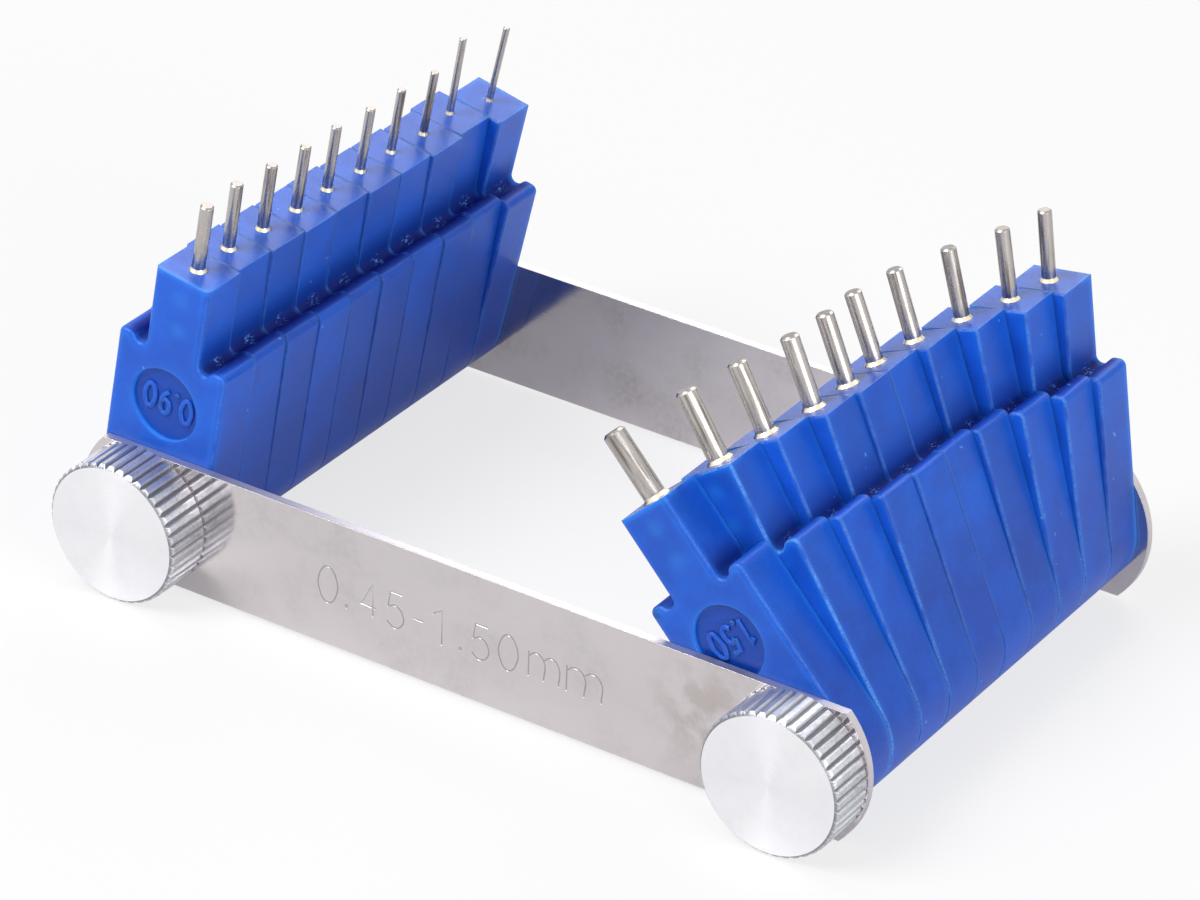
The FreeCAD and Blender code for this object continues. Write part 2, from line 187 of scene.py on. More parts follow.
world = bpy.data.worlds.new("light_tent")
world.use_nodes = True
world.node_tree.nodes.clear()
shown = add_node(world.node_tree, "Background", {"Color": WHITE, "Strength": 1})
fill = add_node(world.node_tree, "Background", {"Color": WHITE, "Strength": FILL_STRENGTH})
mixed = add_node(world.node_tree, "MixShader", {
    0: seen_directly(world.node_tree), 1: fill.outputs[0], 2: shown.outputs[0]})
output = add_node(world.node_tree, "OutputWorld", {"Surface": mixed.outputs[0]})
bpy.context.scene.world = world
print("world:", world.name)

# %% [markdown]
# The sweep is one large sheet of white paper. Most of what the camera sees of it is its
# own white, and the rest is matt paper under the lamps, which keeps the object's shadow.

# %% Floor
FLOOR_SIZE = 2.0

bm = bmesh.new()
bmesh.ops.create_grid(bm, x_segments=1, y_segments=1, size=FLOOR_SIZE / 2)
floor = bpy.data.objects.new("floor", bpy.data.meshes.new("floor"))
bm.to_mesh(floor.data)
bm.free()
bpy.context.scene.collection.objects.link(floor)

paper = bpy.data.materials.new("white_paper")
paper.use_nodes = True
paper.node_tree.nodes.clear()
matt = add_node(paper.node_tree, "BsdfDiffuse", {"Color": (0.88, 0.88, 0.88, 1)})
glow = add_node(paper.node_tree, "Emission", {"Color": WHITE, "Strength": 1})
both = add_node(paper.node_tree, "MixShader", {
    0: seen_directly(paper.node_tree, 0.75, 0.35), 1: matt.outputs[0], 2: glow.outputs[0]})
add_node(paper.node_tree, "OutputMaterial", {"Surface": both.outputs[0]})
floor.data.materials.append(paper)
print("floor:", floor.dimensions[:])

# %% [markdown]
# The key lamp stands over the front left, where the bars and the knob faces catch it. The
# side lamp is low, so the right stack shades the foot of the left one. The back lamp gives
# the tops of the blades their light.

# %% Lamps
def add_softbox(name, place, size, power):
    """A square area lamp aimed at the middle of the gauge."""
    lamp = bpy.data.lights.new(name, "AREA")
    lamp.size = size
    lamp.energy = power
    holder = bpy.data.objects.new(name, lamp)
    aim = Vector((0, 0, 0.012)) - Vector(place)
    holder.location = place
    holder.rotation_euler = aim.to_track_quat("-Z", "Y").to_euler()
    bpy.context.scene.collection.objects.link(holder)
    print("lamp:", name, power, "W")


add_softbox("key_softbox", place=(-0.2, -0.28, 0.42), size=0.3, power=2.25)
add_softbox("side_softbox", place=(0.37, -0.13, 0.14), size=0.2, power=0.78)
add_softbox("back_softbox", place=(-0.1, 0.36, 0.33), size=0.36, power=0.9)

# %% [markdown]
# ## Shared effects as node groups
#
# Several finishes need the same effects: a fine grain, wear and painted highlights along
# the edges and large soft smudges. Each is a shader node group with named inputs and
# outputs, built once. The groups put out only colours and masks; the Principled shader
# stays in each material.

# %% Helpers for node groups
def new_group(name, inputs, outputs):
    """A node group. Inputs are (name, kind, default); outputs are (name, kind)."""
    tree = bpy.data.node_groups.new(name, "ShaderNodeTree")
    for label, kind, default in inputs:
        socket = tree.interface.new_socket(label, in_out="INPUT", socket_type="NodeSocket" + kind)
        if default is not None:
            socket.default_value = default
    for label, kind in outputs:
        tree.interface.new_socket(label, in_out="OUTPUT", socket_type="NodeSocket" + kind)
    return tree, tree.nodes.new("NodeGroupInput").outputs


def finish_group(tree, results):
    ends = tree.nodes.new("NodeGroupOutput")
    for label, socket in results.items():
        tree.links.new(socket, ends.inputs[label])
    print("group:", tree.name, "with", len(tree.nodes), "nodes")


def math_node(tree, operation, *values):
    return add_node(tree, "Math", dict(enumerate(values)), operation=operation).outputs[0]


def noise(tree, vector, scale, detail=2.0, roughness=0.5, seed=0.0):
    """Noise from 0 to 1 around 0.5; scale is in bumps for each unit of the vector."""
    return add_node(tree, "TexNoise", {"Vector": vector, "Scale": scale, "Detail": detail,
                                       "Roughness": roughness, "W": seed},
                    noise_dimensions="4D").outputs["Fac"]


def stretch(tree, vector, factors):
    return add_node(tree, "VectorMath", {0: vector, 1: factors}, operation="MULTIPLY").outputs[0]


def measure(tree, operation, *vectors):
    """One number from vectors: a dot product, a length or a distance."""
    return add_node(tree, "VectorMath", dict(enumerate(vectors)),
                    operation=operation).outputs["Value"]


def components(tree, vector):
    return add_node(tree, "SeparateXYZ", {0: vector}).outputs


def surface_normal(tree):
    return add_node(tree, "NewGeometry").outputs["Normal"]


def times(tree, first, *others):
    """The product of masks and numbers."""
    for other in others:
        first = math_node(tree, "MULTIPLY", first, other)
    return first


def largest(tree, first, *others):
    """The strongest of several masks."""
    for other in others:
        first = math_node(tree, "MAXIMUM", first, other)
    return first


def ramp(tree, value, low, high):
    """0 below low, 1 above high, and smooth between. Low may be the larger number."""
    return add_node(tree, "MapRange", {"Value": value, "From Min": low, "From Max": high},
                    interpolation_type="SMOOTHSTEP").outputs[0]


def band(tree, value, outer_low, low, high, outer_high):
    """1 from low to high, fading to 0 at the outer limits."""
    return times(tree, ramp(tree, value, outer_low, low), ramp(tree, value, outer_high, high))


# The Mix node has one set of sockets for each data type, so colours need their places
def mix_colour(tree, share, first, second):
    mixed = tree.nodes.new("ShaderNodeMix")
    mixed.data_type = "RGBA"
    for place, value in ((0, share), (6, first), (7, second)):
        if isinstance(value, bpy.types.NodeSocket):
            tree.links.new(value, mixed.inputs[place])
        else:
            mixed.inputs[place].default_value = value
    return mixed.outputs[2]


# %% [markdown]
# ### Edge wear
#
# A moulded or cut edge catches the light because it is slightly rounded and rubbed. The
# Bevel node rounds the shading normal near an edge; how far that normal turns away from
# the true one is a mask of the edges. It reads the shape itself, so it also works on the
# CAD meshes, whose triangles are loose.

# %% Group: edge mask
BEVEL_SAMPLES = 8

tree, given = new_group("edge_mask", [("Radius", "Float", 0.0002)], [("Mask", "Float")])
rounded = add_node(tree, "Bevel", {"Radius": given["Radius"]}, samples=BEVEL_SAMPLES)
turn = measure(tree, "DOT_PRODUCT", rounded.outputs[0], surface_normal(tree))
finish_group(tree, {"Mask": ramp(tree, math_node(tree, "SUBTRACT", 1.0, turn), 0.0, 0.3)})

# %% [markdown]
# ### Moulded plastic: the places on a blade
#
# The blades are a clear strong blue, slightly translucent: their thin edges get a painted
# azure glow and their hollows painted shade. The group works in the blade's own frame in
# millimetres, so the first step is to find the groove beside the neck, the round field of
# the figures and the surfaces that don't face the front.

# %% Group: moulded plastic, places
NECK_TOP, GROOVE_FLOOR, BLADE_THICKNESS = 18.05, 11.87, 3.45
NECK_HALF, LIP_INNER, LIP_OUTER = 2.2, 3.4, 4.1
GROOVE_SHADE = 3.4
FIELD_HEIGHT, FIELD_RADIUS, FIELD_DEPTH = 8.3, 2.6, 0.3


def near_point(tree, vector, x, z, radius, share=1.0):
    """1 at a point of the blade's front face, fading to 0 over a share of the radius."""
    flat = stretch(tree, vector, (1, 0.35, 1))
    return ramp(tree, measure(tree, "DISTANCE", flat, (x, 0, z)), radius, radius * (1 - share))


tree, given = new_group("moulded_plastic", [
    ("Vector", "Vector", None), ("Seed", "Float", 0.0), ("Body", "Color", WHITE),
    ("Deep", "Color", WHITE), ("Edge", "Color", WHITE), ("Scuff", "Color", WHITE),
    ("Edge Mask", "Float", 0.0), ("Fine Edge", "Float", 0.0), ("Seam Share", "Float", 0.0),
    ("Streak Share", "Float", 0.0),
], [("Color", "Color"), ("Roughness", "Float"), ("Height", "Float")])
place, seed = given["Vector"], given["Seed"]
sideways, depth, height = components(tree, place)
sideways = math_node(tree, "ABSOLUTE", sideways)
in_groove = times(
    tree, band(tree, sideways, NECK_HALF - 0.3, NECK_HALF, LIP_INNER, LIP_OUTER),
    band(tree, height, GROOVE_FLOOR - 0.3, GROOVE_FLOOR - 0.1, GROOVE_FLOOR,
         GROOVE_FLOOR + GROOVE_SHADE),
    ramp(tree, depth, 0.1, 0.3))
in_field = times(tree, near_point(tree, place, 0.0, FIELD_HEIGHT, FIELD_RADIUS, 0.03),
                 band(tree, depth, 0.1, 0.25, 0.4, 0.6))
face_turn = math_node(tree, "ABSOLUTE", components(tree, surface_normal(tree))[1])
off_front = ramp(tree, face_turn, 0.95, 0.7)
print("places on a blade:", len(tree.nodes), "nodes")

# %% [markdown]
# The colour of the body drifts a little in soft clouds and has a fine lighter grain. Painted
# shade deepens it lower down on the faces that don't face the front, in the recessed field
# and most of all in the groove.

# %% Group: moulded plastic, body colour
CLOUD_SHARE, GRAIN_SHARE = 0.22, 0.22
LOW_SHADE_SHARE, GROOVE_PAINTED_SHADE, FIELD_PAINTED_SHADE = 0.24, 0.95, 0.5
LOW_SHADE_FROM, LOW_SHADE_TO = 9.5, 3.5

cloud = noise(tree, place, 0.35, 3.0, seed=seed)
grain = noise(tree, place, 9.0, 3.0, 0.6)
# painted shade: faces that don't face the front get darker towards the bottom
low_painted_shade = times(tree, ramp(tree, height, LOW_SHADE_FROM, LOW_SHADE_TO), off_front)
cloud_and_painted_shade = math_node(tree, "ADD", times(tree, ramp(tree, cloud, 0.66, 0.34), CLOUD_SHARE),
                    times(tree, low_painted_shade, LOW_SHADE_SHARE))
# random clouds, with painted shade in the groove and the recessed field
shade = largest(tree, cloud_and_painted_shade, times(tree, in_groove, GROOVE_PAINTED_SHADE),
                times(tree, in_field, FIELD_PAINTED_SHADE))
speckled = mix_colour(tree, times(tree, ramp(tree, grain, 0.45, 0.7), GRAIN_SHARE),
                      given["Body"], given["Edge"])
body = mix_colour(tree, shade, speckled, given["Deep"])
print("with body colour:", len(tree.nodes), "nodes")

# %% [markdown]
# Where two blades lie against each other there is a thin dark seam. Free edges get a
# painted azure glow, and the steel wire inside the neck shows through as two faint paler
# spots.

# %% Group: moulded plastic, seams and glow
PAINTED_EDGE_LIGHT, SPOT_SHARE = 0.9, 0.2
SPOTS = ((0.1, 16.6), (0.2, 14.25))
SPOT_BLUE = (0.03, 0.33, 0.86, 1)

at_ends = math_node(tree, "ADD", ramp(tree, depth, 0.16, 0.03),
                    ramp(tree, depth, BLADE_THICKNESS - 0.12, BLADE_THICKNESS - 0.02))
seam = times(tree, at_ends, given["Seam Share"], ramp(tree, face_turn, 0.9, 0.6))
seamed = mix_colour(tree, seam, body, given["Deep"])
# painted light: free edges are lightened towards azure, the figures' edges get a painted highlight
edged = mix_colour(tree, times(tree, given["Edge Mask"], PAINTED_EDGE_LIGHT), seamed, given["Edge"])
spots = math_node(tree, "ADD", *(near_point(tree, place, x, z, 1.0) for x, z in SPOTS))
spotted = mix_colour(tree, times(tree, spots, SPOT_SHARE), edged, SPOT_BLUE)
print("with seams and glow:", len(tree.nodes), "nodes")

# %% [markdown]
# Pale marks are partly wear and partly painted highlight. The front edges of fanned blades
# get painted highlights in long broken streaks, the lips of the shoulders a thin painted
# highlight line, each groove has a nick full of fine hairs, and a few specks of dust lie anywhere.

# %% Group: moulded plastic, wear and painted highlights
LIP_HIGHLIGHT_SHARE, DUST_SHARE, PALE_SHARE = 0.4, 0.6, 0.95
NICK = (2.45, 1.9, 12.0)

mirrored = add_node(tree, "CombineXYZ", {0: sideways, 1: depth, 2: height}).outputs[0]
nick = ramp(tree, measure(tree, "DISTANCE", mirrored, NICK), 0.75, 0.2)
hairs = ramp(tree, noise(tree, stretch(tree, place, (9, 3, 9)), 1.0, 2.0, 0.6, seed=seed),
             0.55, 0.61)
specks = ramp(tree, noise(tree, place, 6.0, 5.0, 0.75), 0.56, 0.68)
streak_breakup = times(tree, ramp(tree, noise(tree, place, 8.0, 3.0, 0.7), 0.3, 0.62),
              ramp(tree, noise(tree, place, 0.5, 1.0, seed=seed), 0.3, 0.55))
# painted highlight in long broken streaks along the front edges of fanned blades
streak = times(tree, given["Streak Share"], streak_breakup, ramp(tree, depth, 0.28, 0.1), off_front)
# painted highlight: a thin pale line along the top edge of the shoulder lips
lip_highlight = times(tree, ramp(tree, given["Fine Edge"], 0.0, 0.6), ramp(tree, height, 9.0, 11.5),
            LIP_HIGHLIGHT_SHARE)
dust = ramp(tree, noise(tree, place, 2.3, 0.0, seed=seed), 0.83, 0.87)
pale = largest(tree, streak, lip_highlight, times(tree, nick, hairs),
               times(tree, given["Fine Edge"], specks), times(tree, dust, DUST_SHARE))
# one pale colour for real wear and dust and for the painted highlights
colour = mix_colour(tree, times(tree, pale, PALE_SHARE), spotted, given["Scuff"])
print("with wear:", len(tree.nodes), "nodes")

# %% [markdown]
# The skin is satin. The pale marks and the groove are duller, and the top of the neck,
# which was cut flat, is glossy. The grain and the pale marks stand up a little.

# %% Group: moulded plastic, gloss and relief
SATIN_FROM, SATIN_TO = 0.3, 0.42
PALE_DULL, GROOVE_DULL, TOP_GLOSS = 0.2, 0.35, 0.24
PALE_RELIEF = 0.6

satin = add_node(tree, "MapRange", {"Value": cloud, "From Min": 0.3, "From Max": 0.7,
                                    "To Min": SATIN_FROM, "To Max": SATIN_TO}).outputs[0]
glossy_top = ramp(tree, height, NECK_TOP - 0.12, NECK_TOP - 0.02)
duller = largest(tree, times(tree, pale, PALE_DULL), times(tree, in_groove, GROOVE_DULL))
rough = math_node(tree, "SUBTRACT", math_node(tree, "ADD", satin, duller),
                  times(tree, glossy_top, TOP_GLOSS))
relief = math_node(tree, "ADD", grain, times(tree, pale, PALE_RELIEF))
finish_group(tree, {"Color": colour, "Roughness": rough, "Height": relief})

# %% [markdown]
# ### Worn metal
#
# Strip, knob and pins share one description: a base tint, soft smudges that darken and
# dull it, and fine scratches. Stretching the vector before it enters the group turns the
# even grain into brushing along one direction.

# %% Group: worn metal
STREAK_SHARE, BRIGHT_SHARE, MOTTLE_RELIEF = 0.22, 0.5, 0.4
BRIGHT_EDGE = (0.9, 0.89, 0.88, 1)

tree, given = new_group("worn_metal", [
    ("Vector", "Vector", None), ("Stretched", "Vector", None), ("Tint", "Color", WHITE),
    ("Smudge", "Color", WHITE), ("Smudge Share", "Float", 0.4), ("Rough Low", "Float", 0.2),
    ("Rough High", "Float", 0.35), ("Edge Mask", "Float", 0.0),
], [("Color", "Color"), ("Roughness", "Float"), ("Height", "Float")])
patches = ramp(tree, noise(tree, given["Vector"], 0.22, 4.0, 0.6), 0.42, 0.72)
mottle = noise(tree, given["Vector"], 2.2, 4.0, 0.65)
scratches = noise(tree, given["Stretched"], 1.0, 4.0, 0.7)
share = times(tree, patches, given["Smudge Share"], ramp(tree, mottle, 0.2, 0.7))
smudged = mix_colour(tree, share, given["Tint"], given["Smudge"])
streaked = mix_colour(tree, times(tree, ramp(tree, scratches, 0.55, 0.85), STREAK_SHARE),
                      smudged, given["Smudge"])
# edges are lightened: partly rubbed metal, partly a painted highlight
bright = mix_colour(tree, times(tree, given["Edge Mask"], BRIGHT_SHARE), streaked, BRIGHT_EDGE)
unevenness = math_node(tree, "ADD", times(tree, mottle, 0.5), times(tree, scratches, 0.5))
rough = add_node(tree, "MapRange", {"Value": unevenness, "From Min": 0.3, "From Max": 0.7,
                                    "To Min": given["Rough Low"], "To Max": given["Rough High"]})
relief = math_node(tree, "ADD", scratches, times(tree, mottle, MOTTLE_RELIEF))
finish_group(tree, {"Color": bright, "Roughness": rough.outputs[0], "Height": relief})

# %% [markdown]
# ## Materials
#
# Each material starts from the same few steps: clear the tree, read Object coordinates,
# turn them into millimetres in the frame that the finish needs, call the groups, and end
# in one Principled shader.

# %% Helpers for materials
def start_material(name):
    material = bpy.data.materials.new(name)
    material.use_nodes = True
    material.node_tree.nodes.clear()
    return material, material.node_tree


def in_millimetres(tree, origin=(0, 0, 0), lean=0.0):
    """Object coordinates in a frame at origin that is leaned about +Y, in millimetres."""
    turned = Matrix.Rotation(-lean, 3, "Y") @ Vector(origin)
    coordinates = add_node(tree, "TexCoord").outputs["Object"]
    return add_node(tree, "Mapping", {
        "Vector": coordinates, "Location": tuple(-turned / MM),
        "Rotation": (0, -lean, 0), "Scale": (1 / MM,) * 3}).outputs[0]


def use_group(tree, name, inputs):
    made = tree.nodes.new("ShaderNodeGroup")
    made.node_tree = bpy.data.node_groups[name]
    for key, value in inputs.items():
        if isinstance(value, bpy.types.NodeSocket):
            tree.links.new(value, made.inputs[key])
        else:
            made.inputs[key].default_value = value
    return made.outputs


def end_material(tree, finish, bump, edge_radius, **sockets):
    """Principled shader with rounded edges and the finish's bump, then the output."""
    edges = add_node(tree, "Bevel", {"Radius": edge_radius}, samples=BEVEL_SAMPLES)
    relief = add_node(tree, "Bump", {"Height": finish["Height"], "Distance": bump,
                                     "Normal": edges.outputs[0]})
    shader = add_node(tree, "BsdfPrincipled", {
        "Base Color": finish["Color"], "Roughness": finish["Roughness"],
        "Normal": relief.outputs[0]})
    for key, value in sockets.items():
        shader.inputs[key.replace("_", " ")].default_value = value
    add_node(tree, "OutputMaterial", {"Surface": shader.outputs[0]})


def dress(node, material):
    """Puts a material in every slot of a CAD node."""
    for slot in nodes[node].material_slots:
        slot.material = material


# %% [markdown]
# ### Blue plastic of the blades
#
# Light enters the plastic and comes out a little further on, which is what subsurface
# scattering does: it softens the shadows in the grooves and lets the thin edges glow. The
# azure glow of the free edges, the highlights on the figures' edges and the shade in the
# hollows are also painted into the colour.

# %% Blade plastic
BLUE = (0.01, 0.113, 0.655, 1)
AZURE = (0.02, 0.25, 0.93, 1)
NAVY = (0.001, 0.013, 0.24, 1)
SCUFF_AND_HIGHLIGHT = (0.15, 0.45, 1.0, 1)
FINE_EDGE, WIDE_EDGE = 0.00018, 0.0013
BLADE_EDGE, FIGURE_EDGE = 0.00013, 0.00006
GRAIN_RELIEF = 0.000018
FIGURE_HIGHLIGHT_SHARE = 0.8


def blade_plastic(blade, name, glow, edge_radius):
    """The plastic of one blade. The glow gives the mask of its painted azure edge light."""
    material, tree = start_material(name + blade.size)
    place = in_millimetres(tree, blade.origin, blade.lean)
    fine = use_group(tree, "edge_mask", {"Radius": FINE_EDGE})
    seam_share = 0.9 * (1 - 0.6 * blade.front_clear)
    finish = use_group(tree, "moulded_plastic", {
        "Vector": place, "Seed": int(blade.size),
        "Body": tuple(blade.tone * part for part in BLUE[:3]) + (1,), "Deep": NAVY,
        "Edge": AZURE, "Scuff": SCUFF_AND_HIGHLIGHT, "Fine Edge": fine["Mask"],
        "Edge Mask": glow(tree, fine, place), "Seam Share": seam_share,
        "Streak Share": blade.streak})
    end_material(tree, finish, GRAIN_RELIEF, edge_radius, IOR=1.37, Subsurface_Weight=0.35,
                 Subsurface_Radius=(0.15, 0.35, 1.0), Subsurface_Scale=0.0012)
    return material


def painted_edge_glow(blade):
    """Painted glow of the thin edges, where the blade stands clear of its neighbours."""
    def glow(tree, fine, place):
        wide = use_group(tree, "edge_mask", {"Radius": WIDE_EDGE})
        depth = components(tree, place)[1]
        front = times(tree, ramp(tree, depth, 1.8, 0.8), blade.front_clear)
        rear = times(tree, ramp(tree, depth, 1.6, 2.6), blade.back_clear)
        return times(tree, wide["Mask"], math_node(tree, "ADD", front, rear))
    return glow


# painted highlight along the edges of the raised figures
def painted_figure_highlight(tree, fine, place):
    return times(tree, fine["Mask"], FIGURE_HIGHLIGHT_SHARE)


for blade in blades:
    dress("blade_" + blade.size,
          blade_plastic(blade, "blade_plastic_", painted_edge_glow(blade), BLADE_EDGE))
    blade.figure_plastic = blade_plastic(blade, "figure_plastic_", painted_figure_highlight, FIGURE_EDGE)
print("plastic on", len(blades), "blades")

# %% [markdown]
# ### Polished wire of the pins
#
# The wire is drawn, so its faint scratches run along it. Its cut tip is dull, and at its
# foot it flares into a burr, whose warm golden highlight is painted into the tint.

# %% Pin steel
WIRE = (0.52, 0.49, 0.47, 1)
DRAWN = (0.2, 0.17, 0.15, 1)
GOLDEN_HIGHLIGHT = (0.95, 0.84, 0.62, 1)
DULL_TIP = 0.55


def pin_steel(blade):
    material, tree = start_material("pin_steel_" + blade.size)
    place = in_millimetres(tree, blade.origin, blade.lean)
    height = components(tree, place)[2]
    # foot of the pin, where a golden highlight is painted
    foot = ramp(tree, height, NECK_TOP + 0.3, NECK_TOP + 0.2)
    streaks = noise(tree, stretch(tree, place, (2.4, 2.4, 0.12)), 1.0, 3.0, 0.7,
                    seed=int(blade.size))
    to_blade = blade.matrix.inverted()
    top = max((to_blade @ vert.co).z for vert in nodes["pin_" + blade.size].data.vertices)
    dull = largest(tree, ramp(tree, streaks, 0.5, 0.66),
                   times(tree, ramp(tree, height, top - 0.1, top - 0.02), DULL_TIP))
    wire = mix_colour(tree, dull, WIRE, DRAWN)
    worn = use_group(tree, "worn_metal", {
        "Vector": place, "Stretched": stretch(tree, place, (9, 9, 0.6)),
        "Tint": mix_colour(tree, foot, wire, GOLDEN_HIGHLIGHT), "Smudge": DRAWN,
        "Smudge Share": 0.35, "Rough Low": 0.2, "Rough High": 0.36})
    end_material(tree, worn, bump=0.000004, edge_radius=0.00003, Metallic=1.0)
    return material


for blade in blades:
    dress("pin_" + blade.size, pin_steel(blade))
print("steel on", len(blades), "pins")

# %% [markdown]
# ### Stainless bars
#
# Cold-rolled strip has a satin skin, warm grey in this light, with fine scratches along
# its length, a few brown smudges, a thumb print beside the right knob and rougher sheared
# edges. The engraving is a little darker than the skin.

# %% Bar steel
ENGRAVED_FROM, ENGRAVED_TO, ENGRAVED_END = 0.004, 0.02, 0.06
STRIP, STRIP_SMUDGE = (0.63, 0.59, 0.605, 1), (0.36, 0.33, 0.31, 1)
THUMB_PRINT, ENGRAVED_GREY = (0.52, 0.47, 0.455, 1), (0.4, 0.37, 0.37, 1)
THUMB_PLACE = (18.5, -16.6, 5.5)
SHEARED_ROUGH = 0.45


def bar_steel(name, node, smudge_share):
    """Strip steel. What lies a little below the outer face of the bar is dull and dark."""
    material, tree = start_material(name)
    place = in_millimetres(tree)
    edge = use_group(tree, "edge_mask", {"Radius": 0.0001})
    thumbed = times(tree, ramp(tree, measure(tree, "DISTANCE", place, THUMB_PLACE), 6.0, 1.0),
                    ramp(tree, noise(tree, place, 0.7, 3.0), 0.35, 0.6))
    skin = mix_colour(tree, thumbed, STRIP, THUMB_PRINT)
    outer_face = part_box(node)[0].y / MM
    depth = math_node(tree, "SUBTRACT", components(tree, place)[1], outer_face)
    engraved = band(tree, depth, ENGRAVED_FROM, ENGRAVED_TO, ENGRAVED_END, ENGRAVED_END + 0.04)
    worn = use_group(tree, "worn_metal", {
        "Vector": place, "Stretched": stretch(tree, place, (0.5, 1, 7)),
        "Tint": mix_colour(tree, engraved, skin, ENGRAVED_GREY), "Smudge": STRIP_SMUDGE,
        "Smudge Share": smudge_share, "Rough Low": 0.05, "Rough High": 0.14,
        "Edge Mask": edge["Mask"]})
    face_turn = math_node(tree, "ABSOLUTE", components(tree, surface_normal(tree))[1])
    sheared = ramp(tree, face_turn, 0.8, 0.5)
    rough = largest(tree, worn["Roughness"], times(tree, sheared, SHEARED_ROUGH))
    end_material(tree, {"Color": worn["Color"], "Roughness": rough, "Height": worn["Height"]},
                 bump=0.000003, edge_radius=0.00004, Metallic=1.0)
    return material


front_steel = bar_steel("front_bar_steel", "front_bar", smudge_share=0.3)
dress("front_bar", front_steel)
dress("rear_bar", bar_steel("rear_bar_steel", "rear_bar", smudge_share=0.5))
print("steel on both bars")

# %% [markdown]
# ### Aluminium knobs
#
# The face of a knob is turned: its rings are too fine to see, but they spread each
# highlight into a bow-tie through the middle, which anisotropic gloss reproduces with a
# tangent that runs round the axis. The knurl is rolled, rougher and mottled, and its
# hollows get painted shade.

# %% Knob metal
ROLLED, PITTED, KNURL_SHADE = (0.64, 0.65, 0.69, 1), (0.26, 0.26, 0.28, 1), (0.16, 0.16, 0.18, 1)
FACE, FACE_SMUDGE = (0.89, 0.89, 0.915, 1), (0.83, 0.83, 0.865, 1)
KNURL_SMUDGE = (0.3, 0.3, 0.32, 1)
PIT_SHARE, KNURL_SHADE_SHARE = 0.55, 0.75


def knob_metal(side):
    """Metal of one knob. Its face is told from the knurl by the surface normal."""
    material, tree = start_material("knob_metal_" + side)
    low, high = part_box(side + "_thumb_screw")
    axis = Vector(((low.x + high.x) / 2, low.y, (low.z + high.z) / 2))
    place = in_millimetres(tree, axis)
    facing = measure(tree, "DOT_PRODUCT", surface_normal(tree), (0, -1, 0))
    turned_face = ramp(tree, facing, 0.85, 0.95)
    from_axis = measure(tree, "LENGTH", stretch(tree, place, (1, 0, 1)))
    radius = (high.x - low.x) / 2 / MM
    # painted shade in the hollows of the knurl, below its crests
    in_knurl = times(tree, ramp(tree, from_axis, radius - 0.04, radius - 0.2),
                     math_node(tree, "SUBTRACT", 1.0, turned_face))
    pits = ramp(tree, noise(tree, place, 5.5, 4.0, 0.7), 0.5, 0.68)
    rolled = mix_colour(tree, times(tree, pits, PIT_SHARE), ROLLED, PITTED)
    knurl_shaded = mix_colour(tree, times(tree, in_knurl, KNURL_SHADE_SHARE), rolled, KNURL_SHADE)
    edge = use_group(tree, "edge_mask", {"Radius": 0.00012})
    worn = use_group(tree, "worn_metal", {
        "Vector": stretch(tree, place, (2.5, 2.5, 2.5)),
        "Stretched": stretch(tree, place, (8, 5, 8)),
        "Tint": mix_colour(tree, turned_face, knurl_shaded, FACE),
        "Smudge": mix_colour(tree, turned_face, KNURL_SMUDGE, FACE_SMUDGE),
        "Smudge Share": 0.7, "Rough Low": 0.24, "Rough High": 0.42, "Edge Mask": edge["Mask"]})
    end_material(tree, worn, bump=0.00003, edge_radius=0.00005, Metallic=1.0,
                 Anisotropic=0.8, Anisotropic_Rotation=0.25)
    shader = next(item for item in tree.nodes if item.type == "BSDF_PRINCIPLED")
    rings = add_node(tree, "Tangent", direction_type="RADIAL", axis="Y")
    tree.links.new(rings.outputs[0], shader.inputs["Tangent"])
    return material


for side in ("left", "right"):
    dress(side + "_thumb_screw", knob_metal(side))
print("metal on both knobs")

# %% [markdown]
# ### Turned steel posts
#
# The barrels are hidden in the stacks; only their low slotted heads show behind the rear
# bar. They are plain turned steel, a little darker than the strip.

# %% Post steel
POST, POST_SMUDGE = (0.5, 0.49, 0.48, 1), (0.24, 0.22, 0.2, 1)


def post_steel():
    material, tree = start_material("post_steel")
    place = in_millimetres(tree)
    edge = use_group(tree, "edge_mask", {"Radius": 0.00012})
    worn = use_group(tree, "worn_metal", {
        "Vector": place, "Stretched": stretch(tree, place, (6, 0.5, 6)),
        "Tint": POST, "Smudge": POST_SMUDGE, "Smudge Share": 0.5,
        "Rough Low": 0.24, "Rough High": 0.4, "Edge Mask": edge["Mask"]})
    end_material(tree, worn, bump=0.000006, edge_radius=0.00008, Metallic=1.0)
    return material


post = post_steel()
dress("left_post", post)
dress("right_post", post)
print("steel on both posts")

# %% [markdown]
# ## Characters as single strokes
#
# The figures of the blades are narrow rounded ridges, and the range on the bar is engraved
# with a turning point. Both are drawn with one line for each stroke, so a font, whose
# letters have two outlines and square ends, would look wrong. Each character is a few
# strokes in a box one unit wide and one high. They become curves with a round profile.

